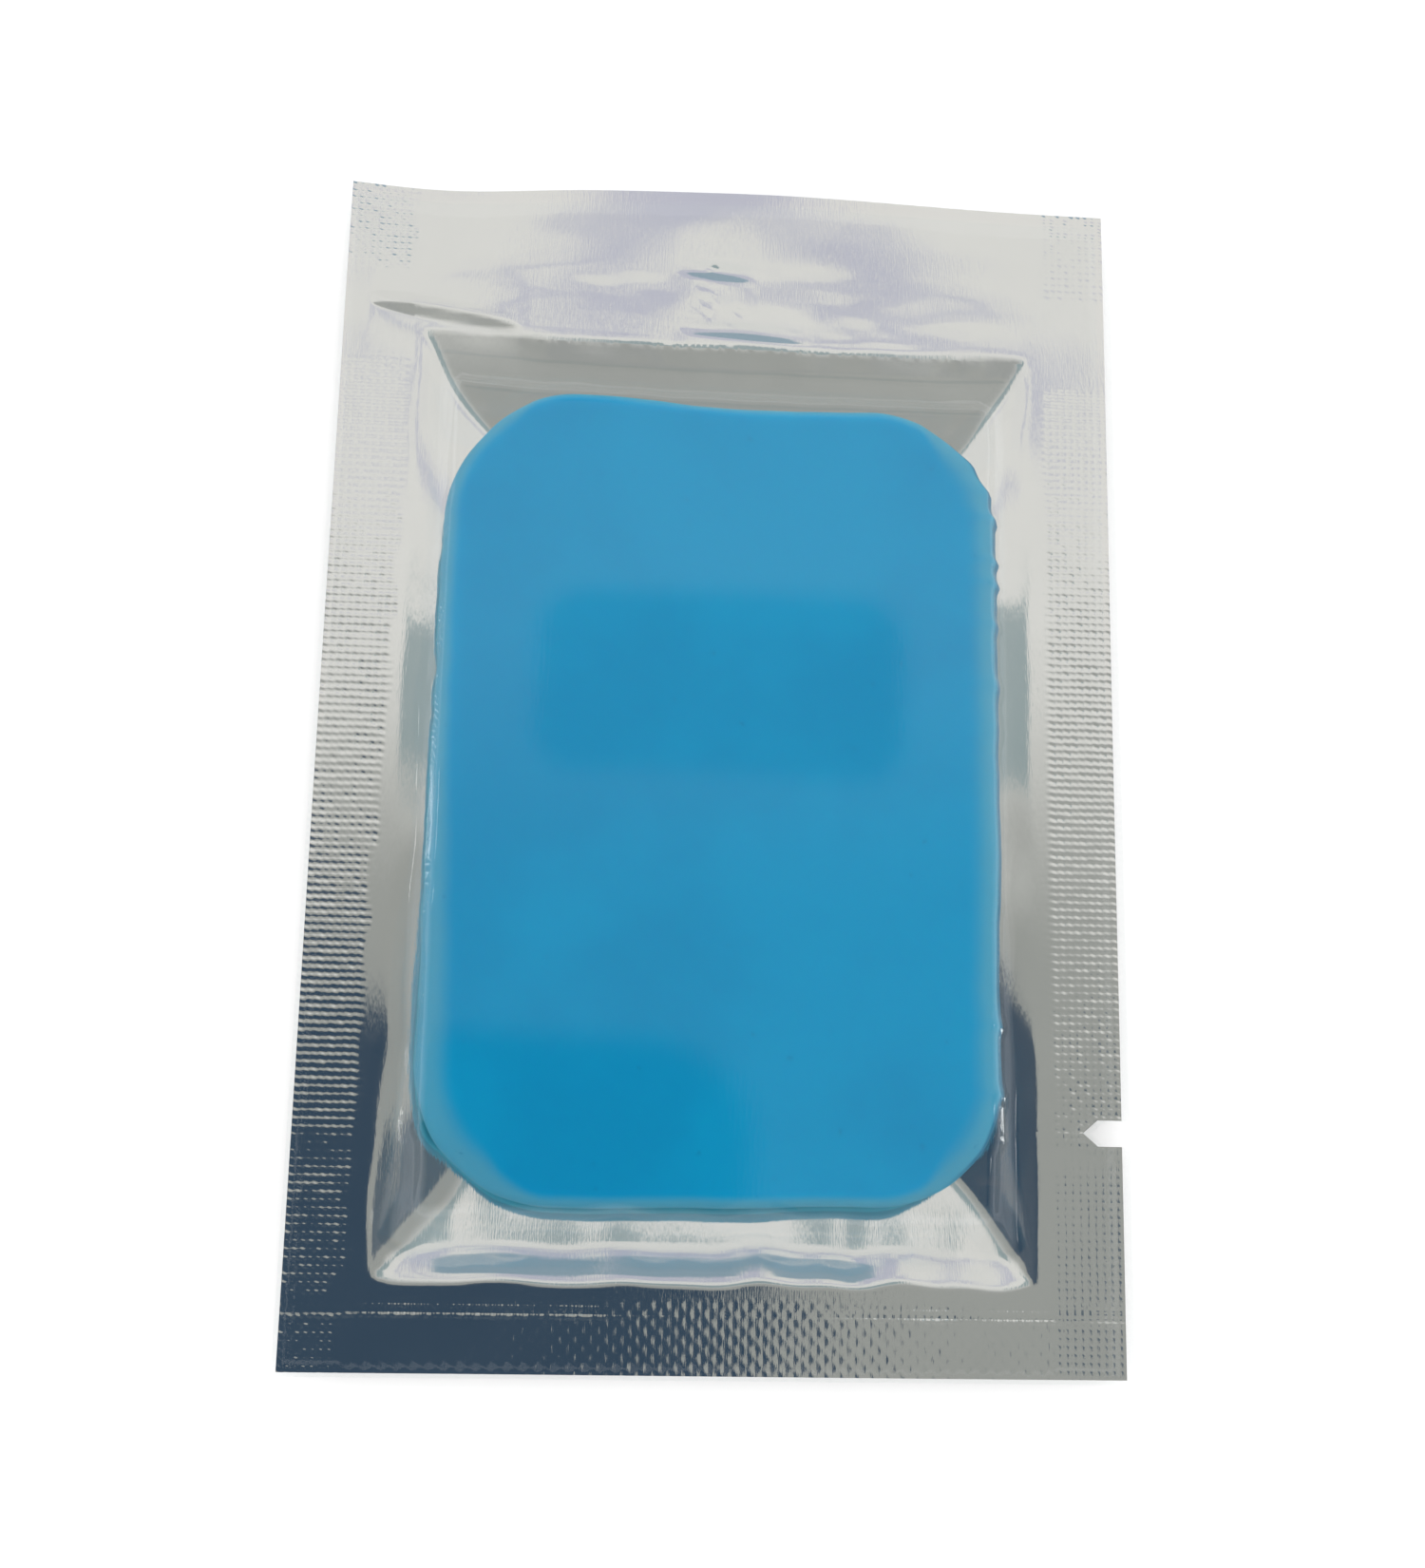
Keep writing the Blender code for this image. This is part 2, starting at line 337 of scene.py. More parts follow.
def side_knurl(x, y):
    """The side seals' dents: none in the closing band, faint near the notch, and fainter upwards."""
    above_band_start = smooth(BAND_LOW_Y - 0.4, BAND_LOW_Y + 0.4, y)
    below_band_end = 1 - smooth(BAND_HIGH_Y - 0.4, BAND_HIGH_Y + 0.4, y)
    plain = above_band_start * below_band_end
    near_notch = bell(y, TEAR_Y - 2.4, 1.7) * (0.65 + 0.2 * smooth(0, 1, x))
    uneven = 0.88 + 0.12 * swell(x, y, 14, stretch=(0.6, 1.6), seed=11)
    low_right = smooth(0, 10, x) * smooth(LOW_RIGHT_Y, LOW_RIGHT_Y - 2, y)
    wobble = 0.012 * swell(x, y, 5, seed=17)
    dents = pits(x, y + wobble, SIDE_PITCH, 0.08 - 0.04 * low_right, 0.6 * low_right, seed=13)
    deep = SIDE_DEPTH * (1 - 0.40 * low_right)
    return deep * (1 - plain) * (1 - near_notch) * stepped(y, *KNURL_FAINT) * uneven * dents


def bottom_knurl(x, y):
    """The bottom seal's dents, which fade out at the pressed lines."""
    uneven = 0.85 + 0.15 * swell(x, y, 3.5, seed=12)
    off_lines = 1 - 0.85 * bell(y, BOTTOM_SEAL_Y - 1.3, 0.9) * smooth(6, 16, abs(x - 2))
    return BOTTOM_DEPTH * uneven * off_lines * lozenges(x, y)


def pressed_lines(x, y):
    """Two beaded lines across the top of the bottom seal."""
    beads = 0.8 + 0.2 * np.cos(math.tau * x / SIDE_PITCH) + 0.2 * swell(x, 0 * y, 6, seed=18)
    beads = beads * (0.3 + 0.7 * smooth(4, 18, abs(x - 3)) + 0.5 * smooth(8, 16, x))
    return beads * sum(height * bell(y, line_y, PRESSED_LINE_HALF) for line_y, height in PRESSED_LINES)


def knurl(x, y):
    """How deep the sealing jaws pressed the films."""
    side = side_seal(x, y)
    bottom = (1 - smooth(BOTTOM_SEAL_Y - 0.8, BOTTOM_SEAL_Y, y)) * (1 - side)
    return side * side_knurl(x, y) + bottom * bottom_knurl(x, y) + pressed_lines(x, y)


def edge_distances(x, y):
    """How far inside the tent a point is from its left, right, bottom and top sides."""
    bow = 0.9 * (1 - np.clip(abs(x - 3) / 33, 0, 1) ** 3)
    wander = 0.20 * swell(x, y, 9, seed=61)
    from_left, from_right = x - TENT_LEFT + wander, TENT_RIGHT - x + wander
    from_bottom, from_top = y - TENT_BOTTOM + wander, TENT_TOP + 0.7 - bow - y + 0.3 * wander
    return from_left, from_right, from_bottom, from_top


def ramp(distance, soft):
    """Zero below 0, then a straight rise of one in one that starts softly."""
    d = np.maximum(distance, 0)
    return np.where(d < soft, d * d / (2 * soft), d - soft / 2)


def front_height(x, y):
    """The clear film's height over the seals: tight over the bar, straight down to the seals round it."""
    left, right, bottom, top = edge_distances(x, y)
    across = meet(LEFT_WALL * ramp(left, 0.6), RIGHT_WALL * ramp(right, 0.6), 0.8)
    along = meet(BOTTOM_WALL * ramp(bottom, 0.4), TOP_WALL * ramp(top, 0.3), 0.8)
    tent = meet(meet(across, along, 0.5), TENT_RISE, 0.5)
    inset = bar_inset(x, slid_past(y)) + np.maximum(ragged(x, y), 0)
    over_bar = rolled(inset, even_roll_width(x)) + 0.16 - SEAL_Z
    return np.minimum(-soft_min(-tent, -over_bar, 0.15), TENT_RISE)


def foil_depth(x, y):
    """How far the foil hangs below the seals' plane."""
    left, right, bottom, top = edge_distances(x, y)
    left_side = stepped(y, *LEFT_FALL) * ramp(left, stepped(y, *LEFT_SOFT))
    across = meet(left_side, stepped(y, *RIGHT_FALL) * ramp(right, 0.5), 0.3)
    top_side = TOP_FALL * ramp(top, 0.15)
    steep = stepped(x, *BOTTOM_FALL)
    bottom_side = steep * ramp(bottom, 0.5) - (steep - BOTTOM_FALL_NEAR_BAR) * ramp(bottom - 2.6, 0.9)
    return meet(across, meet(top_side, bottom_side, 0.2), 0.25 + 0.3 * smooth(-30, -45, y))


def slid_past(y):
    """Above the tear line the pocket keeps the bar's full width, so that the bar can slide out."""
    straight = CLAY_CENTRE.y - CLAY_HALF.y + CLAY_CORNER
    return np.where(y < straight, y + (straight - y) * smooth(TEAR_Y - 4, TEAR_Y, y), y)


def foil_top(x, y):
    """The height of the foil's upper face."""
    inside_tent = smooth(0, 2, np.minimum.reduce(edge_distances(x, y)))
    ripple = 0.012 * swell(x, y, 8, stretch=(0.7, 2.0), seed=21) * inside_tent
    inset = np.maximum(bar_inset(x, y) + ragged(x, y), bar_inset(x, slid_past(y)) - 0.3)
    clear_of_bar = bar_under(inset) - 0.2
    plain = seal_plane(x, y) - foil_depth(x, y) + ripple - knurl(x, y)
    z = np.where(inset > -0.5, soft_min(plain, clear_of_bar, 0.25), plain)
    return np.maximum(z, FILM)


def foil_low(x, y):
    return foil_top(x, y) - FILM


def film_low(x, y):
    """The height of the clear film's lower face."""
    tent = front_height(x, y)
    ripple = 0.012 * swell(x, y, 6, seed=32) * smooth(0.2, 1.5, tent) * (1 - smooth(3, 5.2, tent))
    z = seal_plane(x, y) + WELD_GAP - knurl(x, y) + tent + ripple
    over_bar = FACE_Z - 0.03 + 0.012 * swell(x, y, 42, seed=31)
    on_bar = smooth(4.3, 5.3, tent)
    return np.minimum(z * (1 - on_bar) + over_bar * on_bar, FACE_Z)


def straying_lip(x, y):
    """The lip's cut edge isn't quite straight."""
    return x, y + bells(x, LIP_EDGE_WAVES) * smooth(BAND_HIGH_Y, HALF_LENGTH, y)


# ---------------------------------------------------------------- the plan that both films share

def grid(x0, x1, y0, y1, step_x, step_y):
    """Points about step apart, filling the rectangle and its border."""
    xs = np.linspace(x0, x1, max(2, round((x1 - x0) / step_x) + 1))
    ys = np.linspace(y0, y1, max(2, round((y1 - y0) / step_y) + 1))
    return np.array(np.meshgrid(xs, ys)).reshape(2, -1).T


def rounded(points):
    return np.unique(np.round(points, 4), axis=0)


def plan_points():
    """Plan points of the sachet, close together where the films are knurled or creased."""
    pitch = SIDE_PITCH
    top = HALF_LENGTH
    sets = []
    for side in (-1, 1):
        x0, x1 = sorted((side * SIDE_SEAL_X, side * HALF_WIDTH))
        fine_y = LOW_RIGHT_Y if side > 0 else -top
        sets.append(grid(x0, x1, fine_y, top, pitch / 3, pitch / 4))
        sets.append(grid(x0, x1, -top, fine_y, pitch / 4, pitch / 4))
    inner = SIDE_SEAL_X - 0.3
    sets.append(grid(-inner, inner, -top, BOTTOM_SEAL_Y, BOTTOM_PITCH_X / 8, BOTTOM_PITCH_Y / 6))
    sets.append(grid(-inner, inner, BOTTOM_SEAL_Y - 2.1, BOTTOM_SEAL_Y - 0.6, *LINE_STEPS))
    sets.append(grid(-inner, inner, TENT_TOP - 0.2, top, *BAND_STEPS))
    tent = grid(-inner, inner, BOTTOM_SEAL_Y + 0.3, TENT_TOP - 0.3, *TENT_STEPS)
    sets.append(tent[bar_inset(*tent.T) < FACE_STARTS])
    face = grid(-inner, inner, BOTTOM_SEAL_Y, TENT_TOP, *FACE_STEPS)
    sets.append(face[bar_inset(*face.T) > FACE_STARTS + 0.5])
    return rounded(np.vstack(sets))


def notch_outline():
    return [
        (HALF_WIDTH, TEAR_Y + NOTCH_HALF),
        (NOTCH_SHOULDER_X, TEAR_Y + NOTCH_HALF),
        (NOTCH_TIP_X, TEAR_Y),
        (NOTCH_SHOULDER_X, TEAR_Y - NOTCH_HALF),
        (HALF_WIDTH, TEAR_Y - NOTCH_HALF),
    ]


def in_notch(x, y):
    v_share = np.clip((x - NOTCH_TIP_X) / (NOTCH_SHOULDER_X - NOTCH_TIP_X), 0, 1)
    return (x > NOTCH_TIP_X) & (abs(y - TEAR_Y) < NOTCH_HALF * v_share)


def sachet_plan():
    """(points, triangles) over the whole sachet, with edges along the tear line and round the notch."""
    points = plan_points()
    near_tear = abs(points[:, 1] - TEAR_Y) < 0.06
    points = points[~near_tear]
    points = points[~in_notch(points[:, 0], points[:, 1])]
    tear = grid(-HALF_WIDTH, NOTCH_TIP_X, TEAR_Y, TEAR_Y, TEAR_STEP, 1)
    tear = rounded(tear[:-1])
    notch = np.array(notch_outline())
    everything = np.vstack([points, tear, notch])
    first_tear, first_notch = len(points), len(points) + len(tear)
    tear_run = list(range(first_tear, first_notch)) + [first_notch + 2]
    notch_run = list(range(first_notch, first_notch + len(notch)))
    edges = list(zip(tear_run, tear_run[1:])) + list(zip(notch_run, notch_run[1:]))
    found = delaunay_2d_cdt([Vector(p) for p in everything], edges, [], 0, 1e-5)
    at = np.array([tuple(p) for p in found[0]])
    corners = np.array(found[2])
    middle = at[corners].mean(axis=1)
    corners = corners[~in_notch(middle[:, 0], middle[:, 1])]
    a, b, c = at[corners[:, 0]], at[corners[:, 1]], at[corners[:, 2]]
    area = (b[:, 0] - a[:, 0]) * (c[:, 1] - a[:, 1]) - (b[:, 1] - a[:, 1]) * (c[:, 0] - a[:, 0])
    corners = corners[abs(area) > 1e-7]
    turned = area[abs(area) > 1e-7] < 0
    corners[turned] = corners[turned][:, ::-1]
    return at, corners


def placed(name, data):
    """A new object in the scene."""
    made = bpy.data.objects.new(name, data)
    bpy.context.scene.collection.objects.link(made)
    return made


def surface_normals(points, corners):
    """One normal for each point, from the triangles round it."""
    a, b, c = (points[corners[:, k]] for k in range(3))
    each = np.cross(b - a, c - a)
    total = np.zeros_like(points)
    for k in range(3):
        np.add.at(total, corners[:, k], each)
    return total / np.maximum(np.linalg.norm(total, axis=1, keepdims=True), 1e-12)


def shell(name, plan, corners, low, high, normals, material):
    """A closed shell between two heights over part of the plan, in metres, smooth on both faces."""
    used, corners = np.unique(corners, return_inverse=True)
    corners = corners.reshape(-1, 3)
    n = len(used)
    flat = plan[used]
    upper = np.column_stack([flat, high[used]])
    lower = np.column_stack([flat, low[used]])
    directed = np.vstack([corners[:, [0, 1]], corners[:, [1, 2]], corners[:, [2, 0]]])
    keys = directed[:, 0] * n + directed[:, 1]
    back_keys = directed[:, 1] * n + directed[:, 0]
    rim = directed[~np.isin(keys, back_keys)]
    faces = corners.tolist() + (corners[:, ::-1] + n).tolist()
    faces += [(int(b), int(a), int(a) + n, int(b) + n) for a, b in rim]
    mesh = bpy.data.meshes.new(name)
    mesh.from_pydata((np.vstack([upper, lower]) * MM).tolist(), [], faces)
    mesh.materials.append(material)
    mesh.polygons.foreach_set("use_smooth", [True] * len(mesh.polygons))
    mesh.normals_split_custom_set_from_vertices(np.vstack([normals[used], -normals[used]]).tolist())
    return placed(name, mesh)


def make_film(names, plan, corners, low_of, material):
    """One film as two shells that meet at the tear line: (the sachet's part, the torn-off end)."""
    x, y = plan[:, 0], plan[:, 1]
    low = low_of(x, y)
    high = low + FILM
    moved = np.column_stack(straying_lip(x, y))
    normals = surface_normals(np.column_stack([moved, high]), corners)
    above = plan[corners].mean(axis=1)[:, 1] > TEAR_Y
    return [
        shell(name, moved, corners[part], low, high, normals, material)
        for name, part in zip(names, (above, ~above))
    ]


# ---------------------------------------------------------------- the bar's shape

def bar_outline(count):
    """Points and outward directions round the bar's outline, evenly spaced, anticlockwise."""
    straight_x = 2 * (CLAY_HALF.x - CLAY_CORNER)
    straight_y = 2 * (CLAY_HALF.y - CLAY_CORNER)
    arc = CLAY_CORNER * math.pi / 2
    runs = [straight_y, arc, straight_x, arc] * 2
    total = sum(runs)
    places, outward = [], []
    for k in range(count):
        s = total * k / count
        run = 0
        while s > runs[run]:
            s -= runs[run]
            run += 1
        quarter = run // 2
        turn = quarter * math.pi / 2
        bend = s / CLAY_CORNER if run % 2 else 0
        angle = turn + bend
        # the corner centre that ends this side
        cx = (CLAY_HALF.x - CLAY_CORNER) * (1 if quarter in (0, 3) else -1)
        cy = (CLAY_HALF.y - CLAY_CORNER) * (1 if quarter in (0, 1) else -1)
        direction = Vector((math.cos(angle), math.sin(angle)))
        at = Vector((cx, cy)) + direction * CLAY_CORNER
        if run % 2 == 0:
            along = Vector((-math.sin(turn), math.cos(turn)))
            at = at - along * (runs[run] - s)
        places.append(at)
        outward.append(direction)
    return places, outward


def bar_rings(count):
    """Rings of points from the middle of the bar's face, over its edge, to the middle of its back."""
    places, outward = bar_outline(count)
    middle = np.array([CLAY_CENTRE.x, CLAY_CENTRE.y])
    base = np.array([tuple(p) for p in places]) + middle
    out = np.array([tuple(d) for d in outward])
    edge = base + out * ragged(base[:, 0], base[:, 1])[:, None]
    rings = []

    def face_ring(ring):
        rings.append(np.column_stack([ring, bar_top(ring[:, 0], ring[:, 1])]))

    def level_ring(ring, z):
        rings.append(np.column_stack([ring, np.full(count, z)]))

    face_edge = edge - out * CLAY_RINGS_INSET
    for share in np.linspace(0.05, 0.97, 18):
        face_ring(middle + (face_edge - middle) * share)
    for inset in CLAY_RINGS_INSET * (1 - np.sin(np.linspace(0, math.pi / 2, 16)[:-1])):
        face_ring(edge - out * inset)
    for turn in np.linspace(0, math.pi / 2, 9):
        inset, height = CLAY_ROLL * (1 - math.cos(turn)), CLAY_ROLL * (1 - math.sin(turn))
        level_ring(edge - out * inset, CLAY_LOW.z + height)
    under_edge = edge - out * CLAY_ROLL
    for share in np.linspace(0.9, 0.06, 6):
        level_ring(middle + (under_edge - middle) * share, CLAY_LOW.z)
    return rings


def mark_painted_light_rim(mesh, points):
    """Adds the attribute rim, the mask for the clay's painted light and shade: 0 on the bar's face, rising
    to 1 at its edge, and 2 below that.
    """
    x, y, z = points.T
    depth = (bar_inset(x, y) + ragged(x, y)) / roll_width(x, y)
    reach = 1.1 + 0.5 * smooth(16, 22, x)
    upper = z > CLAY_LOW.z + CLAY_ROLL - 0.01
    rim = mesh.attributes.new("rim", "FLOAT", "POINT")
    rim.data.foreach_set("value", np.where(upper, 1 - smooth(0.0, reach, depth), 2).astype(np.float32))


def make_bar(material):
    count = CLAY_COUNT
    rings = bar_rings(count)
    points = np.vstack(rings)
    faces = [list(range(count))]
    for ring in range(len(rings) - 1):
        a, b = ring * count, (ring + 1) * count
        for k in range(count):
            n = (k + 1) % count
            faces.append([a + k, b + k, b + n, a + n])
    last = (len(rings) - 1) * count
    faces.append([last + k for k in reversed(range(count))])
    mesh = bpy.data.meshes.new("clay")
    mesh.from_pydata((points * MM).tolist(), [], faces)
    mesh.materials.append(material)
    mesh.polygons.foreach_set("use_smooth", [True] * len(mesh.polygons))
    mark_painted_light_rim(mesh, points)
    return placed("clay", mesh)


# ---------------------------------------------------------------- materials

def rgba(r, g, b):
    return (r, g, b, 1.0)


FOIL_DULL, FOIL_BRIGHT = rgba(0.80, 0.80, 0.79), rgba(0.85, 0.85, 0.84)
CLEAR_TINT = rgba(0.985, 0.99, 0.99)
CLAY_DEEP, CLAY_LIGHT = rgba(0.0, 0.258, 0.475), rgba(0.0, 0.292, 0.515)
# The rim colour is painted light: a paler band standing in for light scattered where the clear film stands
# off the bar's rolled rim
CLAY_RIM_PAINTED_LIGHT = rgba(0.10, 0.32, 0.42)
# The right-edge colour is painted shade: a dark line where the bar's right edge turns away from the light
CLAY_RIGHT_EDGE_PAINTED_SHADE = rgba(0.015, 0.13, 0.24)
# The underside colour is painted light: paler, standing in for light coming through the clay where its
# underside is in shade
CLAY_UNDERSIDE_PAINTED_LIGHT = rgba(0.08, 0.46, 0.64)
CLAY_SPECK = rgba(0.002, 0.12, 0.25)
WHITE = rgba(1, 1, 1)


class Nodes:
    """A short way to write a material's or the world's nodes."""

    def __init__(self, tree):
        self.tree = tree
        tree.nodes.clear()

    def add(self, kind, inputs=None, **settings):
        node = self.tree.nodes.new(kind)
        for key, value in settings.items():
            setattr(node, key, value)
        for key, value in (inputs or {}).items():
            if isinstance(value, bpy.types.NodeSocket):
                self.tree.links.new(value, node.inputs[key])
            else:
                node.inputs[key].default_value = value
        return node

    def maths(self, operation, a, b=0.0, c=0.0):
        return self.add("ShaderNodeMath", {0: a, 1: b, 2: c}, operation=operation).outputs[0]

    def step(self, value, low, high):
        """A smooth step from 0 at low to 1 at high."""
        node = self.add(
            "ShaderNodeMapRange", {"Value": value, "From Min": low, "From Max": high},
            interpolation_type="SMOOTHSTEP",
        )
        return node.outputs["Result"]

    def mix(self, share, a, b):
        node = self.add("ShaderNodeMix", data_type="RGBA")
        for socket, value in zip((node.inputs[0], node.inputs[6], node.inputs[7]), (share, a, b)):
            if isinstance(value, bpy.types.NodeSocket):
                self.tree.links.new(value, socket)
            else:
                socket.default_value = value
        return node.outputs[2]

    def noise(self, vector, scale, detail=2.0):
        node = self.add("ShaderNodeTexNoise", {"Vector": vector, "Scale": scale, "Detail": detail})
        return node.outputs["Fac"]

    def stretched(self, scale):
        """Object coordinates, scaled differently along each axis."""
        place = self.add("ShaderNodeTexCoord").outputs["Object"]
        return self.add("ShaderNodeMapping", {"Vector": place, "Scale": scale}).outputs["Vector"]


def new_material(name):
    made = bpy.data.materials.new(name)
    made.use_nodes = True
    return made, Nodes(made.node_tree)


def foil_material():
    """Bright metallised film with the fine grain that rolling leaves along its length."""
    made, n = new_material("foil")
    grain = n.noise(n.stretched((7000, 900, 900)), 1.0, 2.0)
    cloud = n.noise(n.stretched((120, 120, 120)), 1.0, 3.0)
    bump = n.add("ShaderNodeBump", {"Height": grain, "Strength": 0.16, "Distance": 0.00004})
    rough = n.maths("MULTIPLY_ADD", cloud, 0.04, 0.045)
    colour = n.mix(cloud, FOIL_DULL, FOIL_BRIGHT)
    shader = n.add("ShaderNodeBsdfPrincipled", {
        "Base Color": colour, "Metallic": 1.0, "Roughness": rough, "Normal": bump.outputs[0],
    })
    n.add("ShaderNodeOutputMaterial", {"Surface": shader.outputs[0]})
    return made


def clear_material():
    """Clear laminate: it mirrors a little, more at a slant, and lets the rest through."""
    made, n = new_material("clear_film")
    grain = n.noise(n.stretched((2500, 500, 500)), 1.0, 2.0)
    bump = n.add("ShaderNodeBump", {"Height": grain, "Strength": 0.04, "Distance": 0.00004})
    slant = n.add("ShaderNodeFresnel", {"IOR": 1.57, "Normal": bump.outputs[0]})
    leaving = n.add("ShaderNodeNewGeometry").outputs["Backfacing"]
    share = n.maths("MULTIPLY", slant.outputs[0], n.maths("SUBTRACT", 1.0, leaving))
    through = n.add("ShaderNodeBsdfTransparent", {"Color": CLEAR_TINT})
    mirror = n.add("ShaderNodeBsdfAnisotropic", {
        "Color": WHITE, "Roughness": 0.04, "Normal": bump.outputs[0],
    })
    both = n.add("ShaderNodeMixShader", {0: share, 1: through.outputs[0], 2: mirror.outputs[0]})
    n.add("ShaderNodeOutputMaterial", {"Surface": both.outputs[0]})
    return made


def clay_material():
    """Blue polymer clay, a little cloudy, with painted light and shade: its thin rim painted paler for
    light scattered where the film stands off it, a painted dark shade line down its right edge, and its
    underside painted paler for light through the clay.
    """
    made, n = new_material("clay")
    cloud = n.noise(n.stretched((45, 45, 45)), 1.0, 4.0)
    speck = n.noise(n.stretched((900, 900, 900)), 1.0, 2.0)
    rim = n.add("ShaderNodeAttribute", attribute_name="rim").outputs["Fac"]
    colour = n.mix(n.step(cloud, 0.35, 0.65), CLAY_DEEP, CLAY_LIGHT)
    # Painted light: the rolled rim is mixed paler, for light scattered where the film stands off it
    colour = n.mix(n.maths("MULTIPLY", n.step(rim, 0.10, 0.8), 0.65), colour, CLAY_RIM_PAINTED_LIGHT)
    # Painted shade: a dark line along the outer rim, on the right side only
    across = n.add("ShaderNodeSeparateXYZ", {0: n.stretched((1, 1, 1))}).outputs[0]
    edge = n.maths("MULTIPLY", n.step(rim, 0.93, 0.98), n.step(across, 0.021, 0.025))
    colour = n.mix(n.maths("MULTIPLY", edge, 0.8), colour, CLAY_RIGHT_EDGE_PAINTED_SHADE)
    # Painted light: below its widest ring the bar is painted paler than its shade there
    colour = n.mix(n.step(rim, 1.0, 1.8), colour, CLAY_UNDERSIDE_PAINTED_LIGHT)
    colour = n.mix(n.maths("MULTIPLY", n.step(speck, 0.70, 0.78), 0.25), colour, CLAY_SPECK)
    bump = n.add("ShaderNodeBump", {"Height": speck, "Strength": 0.15, "Distance": 0.00005})
    shader = n.add("ShaderNodeBsdfPrincipled", {
        "Base Color": colour, "Roughness": 0.5, "Specular IOR Level": 0.05, "Normal": bump.outputs[0],
        "Subsurface Weight": 0.6, "Subsurface Radius": (0.3, 0.8, 1.0), "Subsurface Scale": 0.002,
    })
    n.add("ShaderNodeOutputMaterial", {"Surface": shader.outputs[0]})
    return made


def floor_material():
    made, n = new_material("floor")
    shader = n.add("ShaderNodeBsdfPrincipled", {
        "Base Color": rgba(0.93, 0.93, 0.93), "Roughness": 0.9, "Specular IOR Level": 0.1,
        "Emission Color": WHITE, "Emission Strength": 0.12,
    })
    n.add("ShaderNodeOutputMaterial", {"Surface": shader.outputs[0]})
    return made


# ---------------------------------------------------------------- stage

# Where the ceiling's bright end is lavender, as (low, high) corners, and a warm gap in it
COOL_PATCHES = (
    ((-0.055, 0.520), (0.130, 0.8)),
    ((0.095, 0.455), (0.222, 0.528)),
    ((-0.120, 0.535), (-0.065, 0.570)),
    ((-0.060, 0.440), (0.020, 0.520)),
    ((0.235, 0.40), (0.285, 0.485)),
    ((-0.150, 0.38), (-0.112, 0.470)),
)
WARM_PATCH = ((0.012, 0.455), (0.100, 0.525))
PATCH_EDGE = (0.018, 0.005)  # corner radius, softness
PATCH_WANDER_U, PATCH_WANDER_V = 0.09, 0.05
# Two small bright lamps low on the left and right, as (low, high) corners
SMALL_LAMPS = (((-1.75, 0.25), (-1.45, 0.35)), ((1.25, -0.11), (1.50, -0.03)))
SMALL_LAMP_EDGE = (0.03, 0.01)  # corner radius, softness

CEILING_GREY, CEILING_BRIGHT = rgba(0.38, 0.39, 0.37), rgba(0.85, 0.835, 0.805)
LAVENDER = rgba(0.60, 0.60, 0.70)
HORIZON = rgba(0.80, 0.80, 0.78)
BRIGHT_FROM = 0.08, 0.30  # the v at which the bright end starts and is full
HORIZON_FROM = 0.62, 0.30  # and the z for the horizon
LAMP_LIGHT = rgba(7, 7, 7)
# Big patches of the ceiling, each over the one before: (low, high, corner radius, softness, share, colour)
BIG_PATCHES = (
    ((-0.5, 0.70), (0.45, 1.4), 0.1, 0.03, 1.0, rgba(0.31, 0.42, 0.50)),
    ((-0.045, 0.185), (0.185, 0.305), 0.03, 0.010, 0.85, rgba(0.255, 0.35, 0.37)),
    ((-0.85, -0.9), (0.095, 0.03), 0.07, 0.012, 1.0, rgba(0.040, 0.072, 0.115)),
    ((0.385, -0.20), (0.95, -0.02), 0.05, 0.015, 1.0, rgba(0.11, 0.145, 0.18)),
)
# How bright the light on everything that isn't glossy is, and how much more comes from +Y
EVEN_LIGHT, LEAN_TO_LIP = 1.18, 0.25


def rounded_box(n, u, v, low, high, radius, soft):
    """1 inside a round-cornered rectangle on the ceiling, fading to 0 over its soft edge."""
    parts = []
    for value, a, b in ((u, low[0], high[0]), (v, low[1], high[1])):
        from_middle = n.maths("ABSOLUTE", n.maths("SUBTRACT", value, (a + b) / 2))
        parts.append(n.maths("MAXIMUM", n.maths("SUBTRACT", from_middle, (b - a) / 2 - radius), 0.0))
    squares = [n.maths("POWER", part, 2.0) for part in parts]
    away = n.maths("SQRT", n.maths("ADD", *squares))
    return n.maths("SUBTRACT", 1.0, n.step(away, radius - soft, radius + soft))


def cool_patches(n, u, v):
    """1 where the bright end of the ceiling is lavender, not warm white."""
    place = n.add("ShaderNodeCombineXYZ", {0: u, 1: v}).outputs[0]
    wander_u, wander_v = (
        n.maths("MULTIPLY_ADD", n.noise(place, scale), size, -size / 2)
        for scale, size in ((16.0, PATCH_WANDER_U), (21.0, PATCH_WANDER_V))
    )
    u, v = n.maths("ADD", u, wander_u), n.maths("ADD", v, wander_v)
    total = None
    for low, high in COOL_PATCHES:
        box = rounded_box(n, u, v, low, high, *PATCH_EDGE)
        total = box if total is None else n.maths("MAXIMUM", total, box)
    warm = rounded_box(n, u, v, *WARM_PATCH, *PATCH_EDGE)
    return n.maths("MULTIPLY", total, n.maths("SUBTRACT", 1.0, warm))


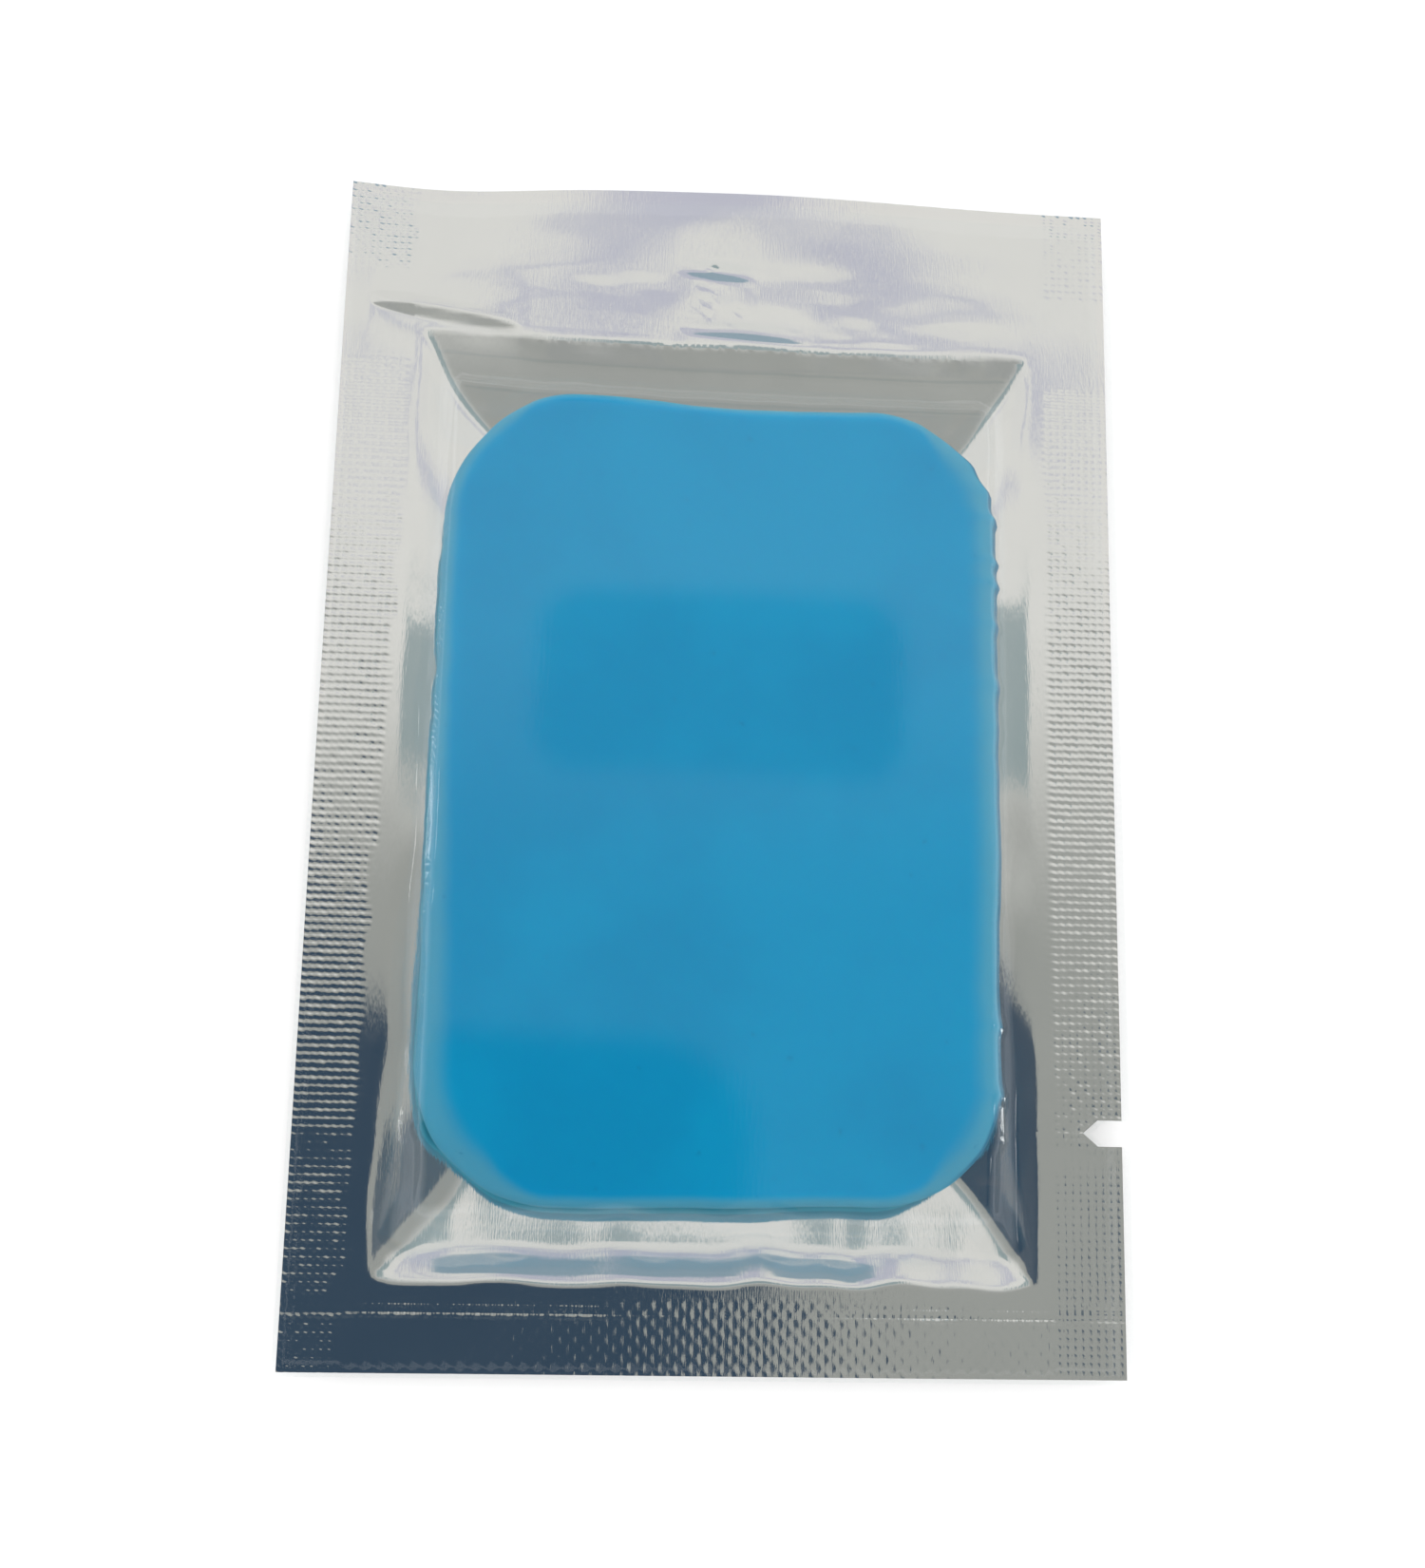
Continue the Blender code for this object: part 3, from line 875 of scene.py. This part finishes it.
def make_world():
    """A studio ceiling as glossy things see it, and even white light for everything else.

    u and v are where a direction meets a flat ceiling one unit up: v grows towards the sachet's lip.
    """
    world = bpy.data.worlds.new("studio")
    world.use_nodes = True
    bpy.context.scene.world = world
    n = Nodes(world.node_tree)
    split = n.add("ShaderNodeSeparateXYZ", {0: n.add("ShaderNodeTexCoord").outputs["Generated"]})
    x, y, z = split.outputs
    up = n.maths("MAXIMUM", z, 0.08)
    u = n.maths("DIVIDE", x, up)
    v = n.maths("DIVIDE", y, up)
    sky = n.mix(n.step(v, *BRIGHT_FROM), CEILING_GREY, CEILING_BRIGHT)
    sky = n.mix(cool_patches(n, u, v), sky, LAVENDER)
    for low, high, radius, soft, share, colour in BIG_PATCHES:
        patch = rounded_box(n, u, v, low, high, radius, soft)
        sky = n.mix(n.maths("MULTIPLY", patch, share), sky, colour)
    sky = n.mix(n.step(z, *HORIZON_FROM), sky, HORIZON)
    for low, high in SMALL_LAMPS:
        sky = n.mix(rounded_box(n, u, v, low, high, *SMALL_LAMP_EDGE), sky, LAMP_LIGHT)
    path = n.add("ShaderNodeLightPath")
    lean = n.maths("MULTIPLY_ADD", y, LEAN_TO_LIP, EVEN_LIGHT)
    plain = n.add("ShaderNodeCombineXYZ", {0: lean, 1: lean, 2: lean}).outputs[0]
    seen = n.mix(path.outputs["Is Glossy Ray"], plain, sky)
    background = n.add("ShaderNodeBackground", {"Color": seen, "Strength": 1.0})
    n.add("ShaderNodeOutputWorld", {"Surface": background.outputs[0]})


def make_floor():
    """A white table top, 8 m across, under the sachet."""
    mesh = bpy.data.meshes.new("floor")
    size = 4.0
    corners = [(-size, -size, 0), (size, -size, 0), (size, size, 0), (-size, size, 0)]
    mesh.from_pydata(corners, [], [(0, 1, 2, 3)])
    mesh.materials.append(floor_material())
    placed("floor", mesh)


CAMERA_PLACE = Vector((-11.5, -33.1, 162.3 + SEAL_Z)) * MM
CAMERA_AIM = Vector((-0.8, -3.6, SEAL_Z)) * MM
CAMERA_ROLL = math.radians(21.5)
CAMERA_SENSOR, CAMERA_LENS = 36.0, 38.06


def make_camera():
    """The camera nearly overhead, a little towards the notch end, as close as a phone is held."""
    data = bpy.data.cameras.new("camera")
    data.sensor_width = CAMERA_SENSOR
    data.lens = CAMERA_LENS
    data.clip_start, data.clip_end = 0.01, 20.0
    camera = placed("camera", data)
    roll = Matrix.Rotation(CAMERA_ROLL, 3, "Z")
    turn = (CAMERA_AIM - CAMERA_PLACE).to_track_quat("-Z", "Y").to_matrix() @ roll
    camera.matrix_world = Matrix.Translation(CAMERA_PLACE) @ turn.to_4x4()
    bpy.context.scene.camera = camera


# ---------------------------------------------------------------- build

def build_films():
    plan, corners = sachet_plan()
    foil = foil_material()
    clear = clear_material()
    back, back_end = make_film(("foil_back", "foil_back_tear_end"), plan, corners, foil_low, foil)
    front, front_end = make_film(("clear_front", "clear_front_tear_end"), plan, corners, film_low, clear)
    for piece, body, node, slot in (
        (back, "sachet", "back_foil", "foil_film"),
        (back_end, "tear_end", "tear_end_back_foil", "foil_film"),
        (front, "sachet", "front_film", "clear_film"),
        (front_end, "tear_end", "tear_end_front_film", "clear_film"),
    ):
        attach(piece, body)
        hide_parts(node)


def build_bar():
    bar = make_bar(clay_material())
    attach(bar, "clay")
    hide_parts("clay_bar")


make_camera()
make_world()
make_floor()
build_films()
build_bar()
bpy.context.scene.view_settings.view_transform = "Standard"
